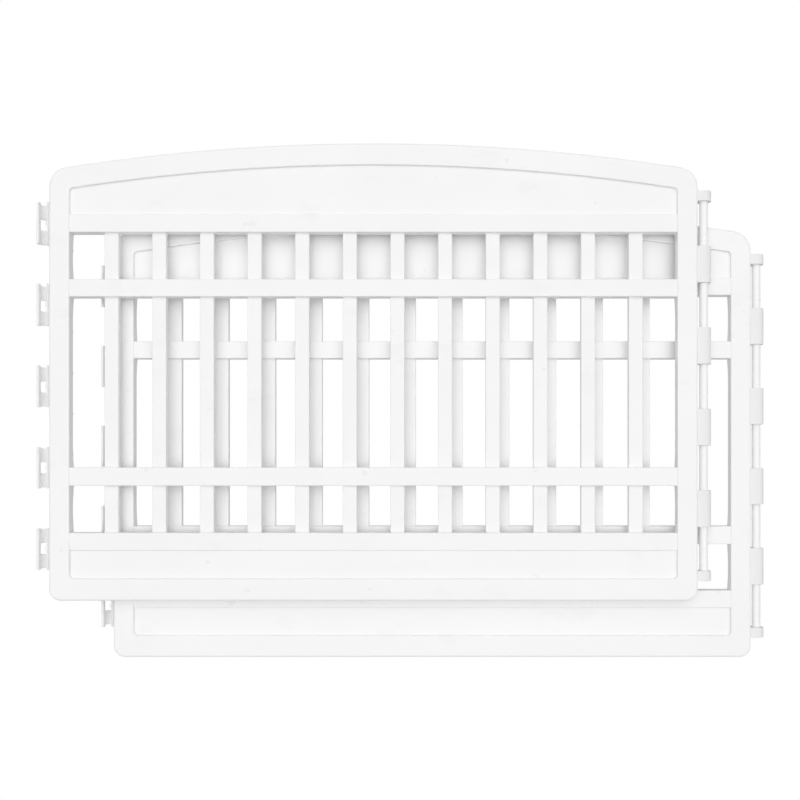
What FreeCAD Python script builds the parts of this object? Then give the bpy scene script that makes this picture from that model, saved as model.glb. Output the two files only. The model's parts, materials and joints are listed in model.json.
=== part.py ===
"""Two identical panels of a snap-together pet playpen, laid flat one over the other.

Each panel is made in its own frame: X across the panel from its middle, Y up from its bottom edge,
Z out of its front face from its back. Millimetres.
"""

import FreeCAD, Part
import math
import os

# Frame of one panel
frame_width = 855.4
panel_height = 603.3
thickness = 22.2
stile_width = 27.0
sill_height = 28.9
arch_band = 28.4
arch_radius = 2636.0
top_corner = 27.0
bottom_corner = 15.0
recess_corner = 5.0
outer_round = 3.0
inner_round = 1.3

# Walls of the moulding, which is open at the back
wall = 2.5
inner_wall_depth = 13.0
flare_depth = 3.5
flare_length = 31.0
rib = 2.0
stile_rib_count = 10

# Rails, by their bottom and top edges
sill_rail = (66.3, 89.6)
low_cross_rail = (151.6, 175.8)
high_cross_rail = (401.1, 424.1)
head_rail = (486.1, 510.1)
rail_drop = 0.8
rail_depth = 16.0
member_round = 1.2

# Recessed panels
panel_drop = 3.9

# Slats, evenly spaced across the opening and set well back behind the rails' fronts
slat_count = 12
slat_width = 18.8
slat_drop = 6.0
slat_depth = 7.8
bridge_reach = 5.0

# Where the frame's ring is parted into stiles, arch and sill
stile_return = 6.0

# Hinge rod, its knuckles and its end caps
rod_radius = 5.6
rod_bottom = 32.0
rod_top = 535.2
rod_chamfer = 0.6
rod_offset = 10.9
rod_height = 9.6
running_clearance = 0.1
end_float = 0.2
knuckle_radius = 9.5
knuckle_length = 48.6
knuckle_round = 0.5
web_lean = 8.0
first_knuckle = 121.35
knuckle_pitch = 107.9
knuckle_count = 4
bottom_cap = (25.4, 38.8)
top_cap = (528.6, 542.0)

# Snap clips
clip_count = 5
clip_length = 55.0
first_clip = 67.4
clip_pitch = 107.9
clip_offset = 9.3
clip_height = rod_height
clip_bore = 5.8
clip_wall = 2.6
clip_rise = 9.3
mouth_half = 5.0
mouth_flare = 1.0
groove_width = 3.0
groove_depth = 5.0
arm_root = 3.0
back_inset = 1.4
window_length = 14.8
nub_length = 4.6
nub_radius = 1.6
nub_reach = 2.6
nub_level = 6.3

# How the two panels lie: the lower one further right and nearer the bottom, and the air between
stack_shift_x = 77.5
stack_shift_y = 79.0
stack_gap = 0.2

# Worked out from the dimensions above
half_frame = frame_width / 2
half_opening = half_frame - stile_width
opening_apex = panel_height - arch_band
inner_wall_back = thickness - inner_wall_depth
rail_front = thickness - rail_drop
rail_back = rail_front - rail_depth
panel_front = thickness - panel_drop
panel_back = panel_front - wall
slat_front = thickness - slat_drop
slat_back = slat_front - slat_depth
slat_core = slat_width - 2 * wall
slat_gap = (2 * half_opening - slat_count * slat_width) / (slat_count + 1)
slat_pitch = slat_width + slat_gap
bridge_front = slat_front - wall / 2
openings = [
    (sill_rail[1], low_cross_rail[0]),
    (low_cross_rail[1], high_cross_rail[0]),
    (high_cross_rail[1], head_rail[0]),
]
slat_centres = [(n - (slat_count - 1) / 2) * slat_pitch for n in range(slat_count)]
knuckle_centres = [first_knuckle + n * knuckle_pitch for n in range(knuckle_count)]
clip_centres = [first_clip + n * clip_pitch for n in range(clip_count)]
rod_x = half_frame + rod_offset
clip_x = -half_frame - clip_offset
overlap = 0.5
beyond = 5.0

Z = FreeCAD.Vector(0, 0, 1)
Y = FreeCAD.Vector(0, 1, 0)


def block(x0, x1, y0, y1, z0, z1):
    corner = FreeCAD.Vector(x0, y0, z0)
    return Part.makeBox(x1 - x0, y1 - y0, z1 - z0, corner)


def rod_along_y(x, z, radius, y0, y1):
    return Part.makeCylinder(radius, y1 - y0, FreeCAD.Vector(x, y0, z), Y)


def united(shapes):
    joined = shapes[0].multiFuse(shapes[1:])
    return joined.removeSplitter()


def arched_prism(half, bottom, apex, radius, high_corner, low_corner, z0, z1):
    """A prism whose outline has a straight foot and sides, an arched top and rounded corners."""
    arch_centre = apex - radius
    corner_y = arch_centre + math.sqrt((radius - high_corner) ** 2 - (half - high_corner) ** 2)
    lean = math.atan2(half - high_corner, corner_y - arch_centre)
    arch_end = (radius * math.sin(lean), arch_centre + radius * math.cos(lean))
    mid_turn = (lean + math.pi / 2) / 2
    high_mid = (
        half - high_corner + high_corner * math.sin(mid_turn),
        corner_y + high_corner * math.cos(mid_turn),
    )
    low_in = low_corner * (1 - math.sqrt(0.5))

    def at(x, y):
        return FreeCAD.Vector(x, y, z0)

    edges = [
        Part.LineSegment(at(-half + low_corner, bottom), at(half - low_corner, bottom)),
        Part.Arc(
            at(half - low_corner, bottom),
            at(half - low_in, bottom + low_in),
            at(half, bottom + low_corner),
        ),
        Part.LineSegment(at(half, bottom + low_corner), at(half, corner_y)),
        Part.Arc(at(half, corner_y), at(*high_mid), at(*arch_end)),
        Part.Arc(at(*arch_end), at(0, apex), at(-arch_end[0], arch_end[1])),
        Part.Arc(at(-arch_end[0], arch_end[1]), at(-high_mid[0], high_mid[1]), at(-half, corner_y)),
        Part.LineSegment(at(-half, corner_y), at(-half, bottom + low_corner)),
        Part.Arc(
            at(-half, bottom + low_corner),
            at(-half + low_in, bottom + low_in),
            at(-half + low_corner, bottom),
        ),
    ]
    face = Part.Face(Part.Wire([edge.toShape() for edge in edges]))
    return face.extrude(Z * (z1 - z0))


def outer_prism(inset, z0, z1):
    return arched_prism(
        half_frame - inset,
        inset,
        panel_height - inset,
        arch_radius - inset,
        top_corner - inset,
        bottom_corner - inset,
        z0,
        z1,
    )


def opening_prism(outset, z0, z1):
    return arched_prism(
        half_opening + outset,
        sill_height - outset,
        opening_apex + outset,
        arch_radius - arch_band + outset,
        recess_corner + outset,
        recess_corner + outset,
        z0,
        z1,
    )


def front_edges(shape, level):
    """The edges that lie wholly in the plane at this level."""
    box_limit = 0.001
    return [
        edge
        for edge in shape.Edges
        if abs(edge.BoundBox.ZMin - level) < box_limit and abs(edge.BoundBox.ZMax - level) < box_limit
    ]


def long_front_edges(shape, level, along_x):
    """The front edges of a straight member that run along it."""
    found = []
    for edge in front_edges(shape, level):
        box = edge.BoundBox
        runs_along = box.XLength > box.YLength if along_x else box.YLength > box.XLength
        if runs_along:
            found.append(edge)
    return found


def frame_ribs():
    """Cross ribs in the stiles, and upright ribs in the sill and the arch, behind each slat."""
    step = (panel_height - sill_height - arch_band) / stile_rib_count
    ribs = []
    for side in (-1, 1):
        for n in range(1, stile_rib_count):
            y = sill_height + n * step
            edges = sorted((side * half_frame, side * half_opening))
            ribs.append(block(*edges, y - rib / 2, y + rib / 2, 0, thickness))
    for x in slat_centres:
        ribs.append(block(x - rib / 2, x + rib / 2, 0, sill_height, 0, thickness))
        ribs.append(block(x - rib / 2, x + rib / 2, head_rail[1], panel_height, 0, thickness))
    return ribs


def frame_hollow():
    """What is taken out behind the frame's front face, which leaves its walls and ribs."""
    pocket = outer_prism(wall, -beyond, thickness - wall)
    pocket = pocket.cut(opening_prism(wall, -beyond, thickness))
    pocket = pocket.cut(frame_ribs())
    short_wall = opening_prism(wall + overlap / 2, -beyond, inner_wall_back)
    return [pocket, short_wall]


def front_rims(solid, cuts):
    """The outer and the inner front edges of a length of the frame, without its cut ends."""
    band_middle = outer_prism(stile_width / 2, 0, thickness + beyond)
    outer_rim = []
    inner_rim = []
    for edge in front_edges(solid, thickness):
        middle = edge.valueAt((edge.FirstParameter + edge.LastParameter) / 2)
        if any(abs((middle - point).dot(normal)) < overlap / 2 for point, normal in cuts):
            continue
        rim = inner_rim if band_middle.isInside(middle, running_clearance, True) else outer_rim
        rim.append(edge)
    return outer_rim, inner_rim


def wall_flares(side):
    """The stile's inner wall deepens along an arc towards both ends of each opening."""
    turn = (flare_length**2 + flare_depth**2) / (2 * flare_depth)
    half_drop = turn - math.sqrt(turn**2 - (flare_length / 2) ** 2)
    near = half_opening if side > 0 else -half_opening - wall
    flares = []
    for opening_foot, opening_head in openings:
        for start, way in ((opening_foot, 1), (opening_head, -1)):
            far = start + way * flare_length
            root = FreeCAD.Vector(near, start, inner_wall_back + overlap)
            tip = FreeCAD.Vector(near, start, inner_wall_back - flare_depth)
            half_way = start + way * flare_length / 2
            on_arc = FreeCAD.Vector(near, half_way, inner_wall_back - half_drop)
            end = FreeCAD.Vector(near, far, inner_wall_back)
            end_root = FreeCAD.Vector(near, far, inner_wall_back + overlap)
            edges = [
                Part.LineSegment(root, tip),
                Part.Arc(tip, on_arc, end),
                Part.LineSegment(end, end_root),
                Part.LineSegment(end_root, root),
            ]
            outline = Part.Wire([edge.toShape() for edge in edges])
            flares.append(Part.Face(outline).extrude(FreeCAD.Vector(wall, 0, 0)))
    return flares


def frame_members():
    """The stiles, arch and sill, parted beside the frame's corners and square to their edges."""
    ring = outer_prism(0, 0, thickness).cut(opening_prism(0, 0, thickness))
    split = half_opening - stile_return
    arch_centre = FreeCAD.Vector(0, panel_height - arch_radius, 0)
    lean = math.degrees(math.asin(split / (arch_radius - arch_band)))
    reach = frame_width
    depth = thickness + 2 * beyond
    middle = panel_height / 2

    foot = block(-split, split, -beyond, middle, -beyond, depth)
    arch_sides = []
    for side in (-1, 1):
        half_space = Part.makeBox(reach, 2 * arch_radius, depth, FreeCAD.Vector(0, 0, -beyond))
        if side < 0:
            half_space.translate(FreeCAD.Vector(-reach, 0, 0))
        half_space.rotate(FreeCAD.Vector(0, 0, 0), Z, -side * lean)
        half_space.translate(arch_centre)
        arch_sides.append(half_space)
    above = block(-reach, reach, middle, 2 * reach, -beyond, depth)
    head = ring.common(above).cut(arch_sides)
    stiles = ring.cut([foot, head])
    left = stiles.common(block(-reach, 0, -reach, 2 * reach, -beyond, depth))
    right = stiles.common(block(0, reach, -reach, 2 * reach, -beyond, depth))

    cuts = []
    for side in (-1, 1):
        turn = math.radians(lean)
        cuts.append((arch_centre, FreeCAD.Vector(math.cos(turn), -side * math.sin(turn), 0)))
        cuts.append((FreeCAD.Vector(side * split, 0, 0), FreeCAD.Vector(1, 0, 0)))
    lengths = {
        "left_stile": left,
        "right_stile": right,
        "bottom_sill": ring.common(foot),
        "arched_top": head,
    }
    members = {}
    hollow = frame_hollow()
    for name, length in lengths.items():
        eased = length.makeFillet(outer_round, front_rims(length, cuts)[0])
        eased = eased.makeFillet(inner_round, front_rims(eased, cuts)[1])
        members[name] = eased.cut(hollow)
    members["left_stile"] = united([members["left_stile"]] + wall_flares(-1))
    members["right_stile"] = united([members["right_stile"]] + wall_flares(1))
    return members


def recessed_panel(y0, y1):
    """A thin panel that fills the opening between two levels, with upright ribs behind it."""
    span = block(-half_frame, half_frame, y0, y1, 0, thickness)
    skin = opening_prism(0, panel_back, panel_front).common(span)
    stiffeners = []
    for x in slat_centres:
        stiffeners.append(block(x - rib / 2, x + rib / 2, y0, y1, inner_wall_back, panel_back + overlap))
    inside = opening_prism(0, 0, thickness).common(span)
    return united([skin] + [piece.common(inside) for piece in stiffeners])


def slat_slot(x, y0, y1):
    return block(x - slat_core / 2, x + slat_core / 2, y0, y1, -beyond, bridge_front)


def rail(level, slot_from, slot_to):
    """A channel across the opening, with a full-depth spine and a slot for every slat."""
    bottom, top = level
    body = block(-half_opening, half_opening, bottom, top, rail_back, rail_front)
    body = body.makeFillet(member_round, long_front_edges(body, rail_front, True))
    hollow = block(
        -half_opening + wall,
        half_opening - wall,
        bottom + wall,
        top - wall,
        rail_back - beyond,
        rail_front - wall,
    )
    middle = (bottom + top) / 2
    spine = block(
        -half_opening,
        half_opening,
        middle - rib / 2,
        middle + rib / 2,
        0,
        rail_front - wall + overlap,
    )
    channel = united([body.cut(hollow), spine])
    return channel.cut([slat_slot(x, slot_from, slot_to) for x in slat_centres])


def rails():
    """The end rails take the slats from one side, and the cross rails let them through."""
    return {
        "sill_rail": rail(sill_rail, sill_rail[0] + wall, sill_rail[1] + beyond),
        "low_cross_rail": rail(low_cross_rail, low_cross_rail[0] - beyond, low_cross_rail[1] + beyond),
        "high_cross_rail": rail(
            high_cross_rail, high_cross_rail[0] - beyond, high_cross_rail[1] + beyond
        ),
        "head_rail": rail(head_rail, head_rail[0] - beyond, head_rail[1] - wall),
    }


def slat(x):
    """Three channel lengths between the rails, joined by narrower bridges that pass behind them."""
    lengths = []
    for y0, y1 in openings:
        length = block(x - slat_width / 2, x + slat_width / 2, y0, y1, slat_back, slat_front)
        length = length.makeFillet(member_round, long_front_edges(length, slat_front, False))
        hollow = block(
            x - slat_core / 2, x + slat_core / 2, y0 - beyond, y1 + beyond, 0, slat_front - wall
        )
        lengths.append(length.cut(hollow))
    bridge_ends = [
        (sill_rail[0] + wall, sill_rail[1] + bridge_reach),
        (low_cross_rail[0] - bridge_reach, low_cross_rail[1] + bridge_reach),
        (high_cross_rail[0] - bridge_reach, high_cross_rail[1] + bridge_reach),
        (head_rail[0] - bridge_reach, head_rail[1] - wall),
    ]
    bridges = [
        block(x - slat_core / 2, x + slat_core / 2, y0, y1, slat_back, bridge_front)
        for y0, y1 in bridge_ends
    ]
    return united(lengths + bridges)


def wedge(corner_x, top, across, down, y0, y1):
    """A three-sided bar with its square corner at the top, to one side of that corner and below."""
    corners = [(corner_x, top), (corner_x + across, top), (corner_x, top - down), (corner_x, top)]
    outline = Part.makePolygon([FreeCAD.Vector(x, y0, z) for x, z in corners])
    return Part.Face(outline).extrude(Y * (y1 - y0))


def clip_body(y0, y1):
    """The clip before it is hollowed: round behind, straight-sided in front, solid to the stile."""
    outer = clip_bore + clip_wall
    top = clip_height + clip_rise
    round_back = rod_along_y(clip_x, clip_height, outer, y0, y1)
    lower_half = block(clip_x - outer, clip_x + outer, y0, y1, clip_height - outer, clip_height)
    body = united(
        [
            round_back.common(lower_half),
            block(clip_x - outer, clip_x + outer, y0, y1, clip_height, top),
            block(clip_x, -half_frame, y0, y1, clip_height - outer, top),
        ]
    )
    return body.makeFillet(member_round, long_front_edges(body, top, False)[:1])


def hook_clip(y):
    """A snap channel on the left stile's edge: two arms in front of a shorter back with a window."""
    y0 = y - clip_length / 2
    y1 = y + clip_length / 2
    far0 = y0 - beyond
    far1 = y1 + beyond
    top = clip_height + clip_rise
    root = clip_height + arm_root
    edge = clip_x - clip_bore - clip_wall - beyond
    half_window = window_length / 2
    cuts = [
        rod_along_y(clip_x, clip_height, clip_bore, far0, far1),
        block(clip_x - mouth_half, clip_x + mouth_half, far0, far1, clip_height, top + beyond),
        wedge(clip_x - mouth_half, top, -mouth_flare, mouth_flare, far0, far1),
        wedge(clip_x + mouth_half, top, mouth_flare, mouth_flare, far0, far1),
        wedge(-half_frame, top, -groove_width, groove_depth, far0, far1),
        block(edge, clip_x + clip_bore, y - half_window, y + half_window, -beyond, root),
        block(edge, -half_frame, far0, y0 + back_inset, -beyond, root),
        block(edge, -half_frame, y1 - back_inset, far1, -beyond, root),
    ]
    channel = clip_body(y0, y1).cut(cuts)
    nub_x = clip_x + mouth_half - nub_reach + nub_radius
    nub = rod_along_y(
        nub_x, clip_height + nub_level, nub_radius, y - nub_length / 2, y + nub_length / 2
    )
    return united([channel, nub])


def barrel(y0, y1):
    """A boss about the rod's axis, with a web to the stile that is flat behind and leans in front."""
    low = rod_height - knuckle_radius
    lean = math.radians(web_lean)
    touch_x = rod_x - knuckle_radius * math.sin(lean)
    touch_z = rod_height + knuckle_radius * math.cos(lean)
    at_stile = touch_z - (touch_x - half_frame) * math.tan(lean)
    corners = [
        (half_frame, low),
        (rod_x, low),
        (rod_x, rod_height),
        (touch_x, touch_z),
        (half_frame, at_stile),
        (half_frame, low),
    ]
    outline = Part.makePolygon([FreeCAD.Vector(x, y0, z) for x, z in corners])
    web = Part.Face(outline).extrude(Y * (y1 - y0))
    boss = united([rod_along_y(rod_x, rod_height, knuckle_radius, y0, y1), web])
    rims = []
    for edge in boss.Edges:
        box = edge.BoundBox
        in_end = box.YLength < overlap
        on_stile = box.XMax < half_frame + overlap
        if in_end and not on_stile:
            rims.append(edge)
    return boss.makeFillet(knuckle_round, rims)


def knuckle(y):
    y0 = y - knuckle_length / 2
    y1 = y + knuckle_length / 2
    bore = rod_along_y(rod_x, rod_height, rod_radius + running_clearance, y0 - beyond, y1 + beyond)
    return barrel(y0, y1).cut(bore)


def rod_cap(ends, socket_from, socket_to):
    """A closed barrel with a blind socket for the rod's end."""
    socket = rod_along_y(
        rod_x, rod_height, rod_radius + running_clearance, socket_from, socket_to
    )
    return barrel(*ends).cut(socket)


def hinge_rod():
    rod = rod_along_y(rod_x, rod_height, rod_radius, rod_bottom, rod_top)
    return rod.makeChamfer(rod_chamfer, [edge for edge in rod.Edges if edge.Closed])


def panel_parts():
    """Every piece of one panel, by name."""
    parts = frame_members()
    parts["head_panel"] = recessed_panel(head_rail[1], panel_height)
    parts["kick_panel"] = recessed_panel(sill_height, sill_rail[0])
    parts.update(rails())
    for n, x in enumerate(slat_centres, 1):
        parts[f"slat_{n:02d}"] = slat(x)
    parts["hook_clips"] = Part.makeCompound([hook_clip(y) for y in clip_centres])
    parts["knuckles"] = Part.makeCompound([knuckle(y) for y in knuckle_centres])
    parts["rod_cap_bottom"] = rod_cap(bottom_cap, rod_bottom - end_float, bottom_cap[1] + beyond)
    parts["rod_cap_top"] = rod_cap(top_cap, top_cap[0] - beyond, rod_top + end_float)
    parts["hinge_rod"] = hinge_rod()
    return parts


def stack_places():
    """Each panel's place, with the pair centred over the origin and the lower one on the floor."""
    left = clip_x - clip_bore - clip_wall
    right = rod_x + knuckle_radius + stack_shift_x
    middle_x = (left + right) / 2
    middle_y = (panel_height - stack_shift_y) / 2
    upper = FreeCAD.Vector(-middle_x, -middle_y, thickness + stack_gap)
    lower = FreeCAD.Vector(stack_shift_x - middle_x, -stack_shift_y - middle_y, 0)
    return {"lower": lower, "upper": upper}


def main():
    os.makedirs("parts", exist_ok=True)
    pieces = panel_parts()
    for panel, place in stack_places().items():
        print(panel, "panel's own origin is at", [round(value, 3) for value in place])
        for name, shape in pieces.items():
            placed = shape.copy()
            placed.translate(place)
            placed.exportStep(f"parts/{panel}_{name}.step")
    for name, shape in pieces.items():
        print(name, len(shape.Solids), "solids", shape.isValid(), round(shape.Volume / 1000, 2), "cm3")


if __name__ == "__main__":
    main()
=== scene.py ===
"""Two white moulded playpen panels, lying one over the other, seen from straight above."""

import json
import math

import bpy
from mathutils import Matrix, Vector


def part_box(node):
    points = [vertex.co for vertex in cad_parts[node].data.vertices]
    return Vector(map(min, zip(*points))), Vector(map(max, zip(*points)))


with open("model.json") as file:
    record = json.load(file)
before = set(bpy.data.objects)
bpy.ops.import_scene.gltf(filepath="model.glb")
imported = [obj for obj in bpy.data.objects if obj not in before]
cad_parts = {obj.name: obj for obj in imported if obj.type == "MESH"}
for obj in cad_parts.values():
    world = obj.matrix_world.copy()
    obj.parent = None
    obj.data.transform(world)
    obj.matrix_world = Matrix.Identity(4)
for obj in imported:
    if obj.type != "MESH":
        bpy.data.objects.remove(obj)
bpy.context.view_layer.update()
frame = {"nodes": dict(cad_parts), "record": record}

# The camera looks straight down from this height over the upper panel's front face, in metres
camera_height = 1.21
focal_length = 41.347
sensor_width = 36.0
clip_start = 0.01
# The eye stands right of the upper panel's middle and below it
eye_right = 0.0842
eye_below = 0.1160
shift_x = -0.04655
shift_y = 0.075

floor_size = 14.0
floor_drop = 0.0005
floor_brightness = 1.0
floor_bounce = 0.50

# The softbox overhead: its axis leans by these slopes, and it fades out between two angles
softbox_slope_x = 0.02
softbox_slope_y = 0.16
softbox_strength = 1.645
softbox_full_angle = 12.0
softbox_end_angle = 58.0
room_strength = 0.44

# Noise of the plastic, in waves per metre; three numbers stretch it along the object's axes
cloud_scale = 9.0
streak_stretch = (4.0, 30.0, 30.0)
smudge_stretch = (14.0, 22.0, 22.0)
speck_scale = 58.0
grain_scale = 2600.0
waviness_scale = 38.0

# How many finer layers each noise has, and how much the finer ones count
cloud_detail = 3.0
streak_detail = 4.0
streak_roughness = 0.6
smudge_detail = 6.0
smudge_roughness = 0.62
speck_detail = 1.0
grain_detail = 2.0
waviness_detail = 2.0

# Most of a noise lies between these two values
noise_low = 0.3
noise_high = 0.7

# Where in its noise a mark starts, and where it is full
smudge_from = 0.56
smudge_full = 0.70
speck_from = 0.755
speck_full = 0.80

# Brightness against the plastic's own: the darkest cloud, and a full mark
cloud_shade = 0.985
mark_shade = 0.93

# Gloss varies by this much to each side of a plastic's own roughness
gloss_below = 0.05
gloss_above = 0.06

# Bumps: how strongly each shows, and its height in metres
grain_strength = 0.12
grain_height = 0.00006
waviness_strength = 0.25
waviness_height = 0.0004

plastic_ior = 1.49
scatter_weight = 0.06
scatter_radius = (0.0015, 0.0015, 0.0014)


def node_tree(material):
    material.use_nodes = True
    tree = material.node_tree
    tree.nodes.clear()
    return tree


def add_node(tree, kind, **settings):
    node = tree.nodes.new(kind)
    for name, value in settings.items():
        setattr(node, name, value)
    return node


def noise(tree, coordinates, scale, detail, roughness=0.5):
    """Procedural noise at this many waves per unit of the coordinates given."""
    texture = add_node(tree, "ShaderNodeTexNoise")
    texture.inputs["Scale"].default_value = scale
    texture.inputs["Detail"].default_value = detail
    texture.inputs["Roughness"].default_value = roughness
    tree.links.new(coordinates, texture.inputs["Vector"])
    return texture.outputs["Fac"]


def remap(tree, value, low, high, to_low, to_high):
    """Carries a value smoothly from one range into another."""
    node = add_node(tree, "ShaderNodeMapRange", interpolation_type="SMOOTHSTEP")
    node.inputs["From Min"].default_value = low
    node.inputs["From Max"].default_value = high
    node.inputs["To Min"].default_value = to_low
    node.inputs["To Max"].default_value = to_high
    tree.links.new(value, node.inputs["Value"])
    return node.outputs["Result"]


def stretched(tree, coordinates, scale):
    """Coordinates scaled by a different number along each axis."""
    node = add_node(tree, "ShaderNodeMapping")
    node.inputs["Scale"].default_value = scale
    tree.links.new(coordinates, node.inputs["Vector"])
    return node.outputs["Vector"]


def moulded_plastic(name, colour, roughness, smudge_strength):
    """White plastic: a fine moulded grain, soft flow marks, handling smudges and small specks."""
    material = bpy.data.materials.new(name)
    tree = node_tree(material)
    output = add_node(tree, "ShaderNodeOutputMaterial")
    shader = add_node(tree, "ShaderNodeBsdfPrincipled")
    place = add_node(tree, "ShaderNodeTexCoord").outputs["Object"]

    clouds = noise(tree, place, cloud_scale, cloud_detail)
    along_flow = stretched(tree, place, streak_stretch)
    streaks = noise(tree, along_flow, 1.0, streak_detail, streak_roughness)
    smeared = stretched(tree, place, smudge_stretch)
    smudge_core = noise(tree, smeared, 1.0, smudge_detail, smudge_roughness)
    smudge = remap(tree, smudge_core, smudge_from, smudge_full, 0.0, smudge_strength)
    speck_core = noise(tree, place, speck_scale, speck_detail)
    speck = remap(tree, speck_core, speck_from, speck_full, 0.0, 1.0)
    grain = noise(tree, place, grain_scale, grain_detail)
    waviness = noise(tree, place, waviness_scale, waviness_detail)

    tint = add_node(tree, "ShaderNodeMix", data_type="RGBA", blend_type="MULTIPLY")
    tint.inputs["A"].default_value = (*colour, 1.0)
    shade = remap(tree, clouds, noise_low, noise_high, cloud_shade, 1.0)
    tint_colour = add_node(tree, "ShaderNodeCombineColor")
    for channel in ("Red", "Green", "Blue"):
        tree.links.new(shade, tint_colour.inputs[channel])
    tint.inputs["Factor"].default_value = 1.0
    tree.links.new(tint_colour.outputs["Color"], tint.inputs["B"])

    marked = add_node(tree, "ShaderNodeMix", data_type="RGBA", blend_type="MIX")
    marked.inputs["B"].default_value = tuple(mark_shade * channel for channel in colour) + (1.0,)
    mark_amount = add_node(tree, "ShaderNodeMath", operation="MAXIMUM")
    tree.links.new(smudge, mark_amount.inputs[0])
    tree.links.new(speck, mark_amount.inputs[1])
    tree.links.new(mark_amount.outputs["Value"], marked.inputs["Factor"])
    tree.links.new(tint.outputs["Result"], marked.inputs["A"])
    tree.links.new(marked.outputs["Result"], shader.inputs["Base Color"])

    smooth = roughness - gloss_below
    rough = roughness + gloss_above
    gloss = remap(tree, streaks, noise_low, noise_high, smooth, rough)
    tree.links.new(gloss, shader.inputs["Roughness"])

    fine = add_node(tree, "ShaderNodeBump")
    fine.inputs["Strength"].default_value = grain_strength
    fine.inputs["Distance"].default_value = grain_height
    tree.links.new(grain, fine.inputs["Height"])
    broad = add_node(tree, "ShaderNodeBump")
    broad.inputs["Strength"].default_value = waviness_strength
    broad.inputs["Distance"].default_value = waviness_height
    tree.links.new(waviness, broad.inputs["Height"])
    tree.links.new(fine.outputs["Normal"], broad.inputs["Normal"])
    tree.links.new(broad.outputs["Normal"], shader.inputs["Normal"])

    shader.inputs["IOR"].default_value = plastic_ior
    shader.inputs["Subsurface Weight"].default_value = scatter_weight
    shader.inputs["Subsurface Radius"].default_value = scatter_radius
    shader.inputs["Subsurface Scale"].default_value = 1.0
    tree.links.new(shader.outputs["BSDF"], output.inputs["Surface"])
    return material


def finish_nodes():
    """Gives every CAD piece its plastic; the bosses round the rod are a little rougher, and their
    darker grey is painted shade for their curved faces.
    """
    panel_plastic = moulded_plastic(
        "panel_plastic", colour=(0.97, 0.97, 0.97), roughness=0.40, smudge_strength=0.5
    )
    # The bosses' darker grey colour is painted shade, standing in for the shade on their curved
    # faces; their extra roughness is real.
    boss_painted_shade_plastic = moulded_plastic(
        "boss_painted_shade_plastic", colour=(0.885, 0.885, 0.885), roughness=0.46, smudge_strength=0.4
    )
    rod_plastic = moulded_plastic(
        "rod_plastic", colour=(0.98, 0.98, 0.98), roughness=0.28, smudge_strength=0.2
    )
    for part in frame["record"]["subparts"]:
        name = part["node"]
        piece = frame["nodes"][name]
        finish = rod_plastic if part["material_slot"] == "rod" else panel_plastic
        if "knuckle" in name or "rod_cap" in name:
            finish = boss_painted_shade_plastic
        piece.data.materials.clear()
        piece.data.materials.append(finish)


def seen_or_felt(tree, seen, felt):
    """One strength where a surface is looked at, and another for the light that it gives off."""
    choice = add_node(tree, "ShaderNodeMix", data_type="FLOAT")
    path = add_node(tree, "ShaderNodeLightPath")
    tree.links.new(path.outputs["Is Camera Ray"], choice.inputs["Factor"])
    for socket, value in (("A", felt), ("B", seen)):
        if isinstance(value, float):
            choice.inputs[socket].default_value = value
        else:
            tree.links.new(value, choice.inputs[socket])
    return choice.outputs["Result"]


def white_backdrop(name):
    """A backdrop that reads as plain white and throws little light back."""
    material = bpy.data.materials.new(name)
    tree = node_tree(material)
    output = add_node(tree, "ShaderNodeOutputMaterial")
    emission = add_node(tree, "ShaderNodeEmission")
    strength = seen_or_felt(tree, floor_brightness, floor_bounce)
    tree.links.new(strength, emission.inputs["Strength"])
    tree.links.new(emission.outputs["Emission"], output.inputs["Surface"])
    return material


def pale_floor():
    """A flat square just under the lower panel."""
    half = floor_size / 2
    mesh = bpy.data.meshes.new("floor")
    corners = [(-half, -half), (half, -half), (half, half), (-half, half)]
    mesh.from_pydata([(x, y, -floor_drop) for x, y in corners], [], [(0, 1, 2, 3)])
    floor = bpy.data.objects.new("floor", mesh)
    bpy.context.scene.collection.objects.link(floor)
    floor.data.materials.append(white_backdrop("floor_white"))


def studio_light():
    """A wide softbox overhead, leaning a little to the right and the top, in a dim white room."""
    world = bpy.data.worlds.new("studio")
    bpy.context.scene.world = world
    tree = node_tree(world)
    output = add_node(tree, "ShaderNodeOutputWorld")
    background = add_node(tree, "ShaderNodeBackground")
    background.inputs["Color"].default_value = (1.0, 1.0, 1.0, 1.0)
    direction = add_node(tree, "ShaderNodeTexCoord").outputs["Generated"]
    axis = Vector((softbox_slope_x, softbox_slope_y, 1.0)).normalized()
    along = add_node(tree, "ShaderNodeVectorMath", operation="DOT_PRODUCT")
    along.inputs[1].default_value = axis
    tree.links.new(direction, along.inputs[0])
    edge = math.cos(math.radians(softbox_end_angle))
    full = math.cos(math.radians(softbox_full_angle))
    light = remap(tree, along.outputs["Value"], edge, full, room_strength, softbox_strength)
    tree.links.new(seen_or_felt(tree, floor_brightness, light), background.inputs["Strength"])
    tree.links.new(background.outputs["Background"], output.inputs["Surface"])


def camera():
    """Looks straight down on the stack, with its lens shifted to frame it."""
    data = bpy.data.cameras.new("camera")
    data.sensor_width = sensor_width
    data.lens = focal_length
    left, left_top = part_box("upper_left_stile")
    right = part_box("upper_right_stile")[1]
    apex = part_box("upper_arched_top")[1]
    middle_x = (left.x + right.x) / 2
    middle_y = (left.y + apex.y) / 2
    place = Vector((middle_x + eye_right, middle_y - eye_below, left_top.z + camera_height))
    data.shift_x = shift_x
    data.shift_y = shift_y
    data.clip_start = clip_start
    eye = bpy.data.objects.new("camera", data)
    eye.location = place
    bpy.context.scene.collection.objects.link(eye)
    bpy.context.scene.camera = eye


def colour_management():
    view = bpy.context.scene.view_settings
    view.view_transform = "Standard"
    view.look = "None"


camera()
pale_floor()
studio_light()
colour_management()
finish_nodes()
